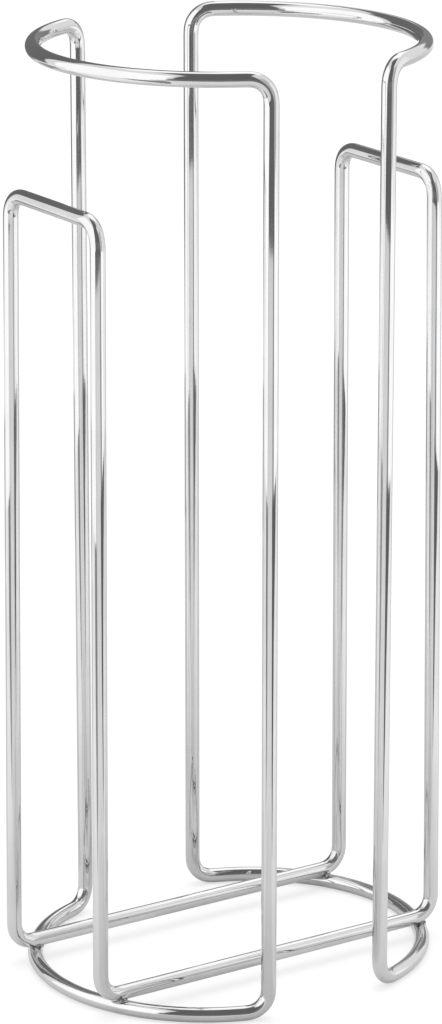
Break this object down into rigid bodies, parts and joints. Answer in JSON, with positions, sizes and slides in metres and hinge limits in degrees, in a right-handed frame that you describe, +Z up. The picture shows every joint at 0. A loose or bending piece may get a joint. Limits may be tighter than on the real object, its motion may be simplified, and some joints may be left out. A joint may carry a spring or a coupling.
{
  "type": "toilet roll storage holder",
  "caption": "Free-standing chromed wire rack that holds a stack of spare toilet rolls on end, with open top, tall curved side frames, low side loops and crossbars beneath.",
  "frame": {"origin": "on the floor, midway between the two tall frames, at the centre of the footprint", "axes": "+Z up; X along the crossbars, towards the right tall frame; the open gaps between the tall frames face -Y (front) and +Y (rear)"},
  "size_m": [0.1406, 0.119, 0.3155],
  "materials": {
    "chrome_wire": "bright chrome plate on smooth drawn steel wire",
    "weld_bead": "rough as-welded bead, thinly plated over"
  },
  "bodies": {
    "root": {"left_frame_wire": "chrome_wire", "right_frame_wire": "chrome_wire", "cradle_wire": "chrome_wire", "weld_left_front": "weld_bead", "weld_left_rear": "weld_bead", "weld_right_front": "weld_bead", "weld_right_rear": "weld_bead"}
  },
  "joints": []
}
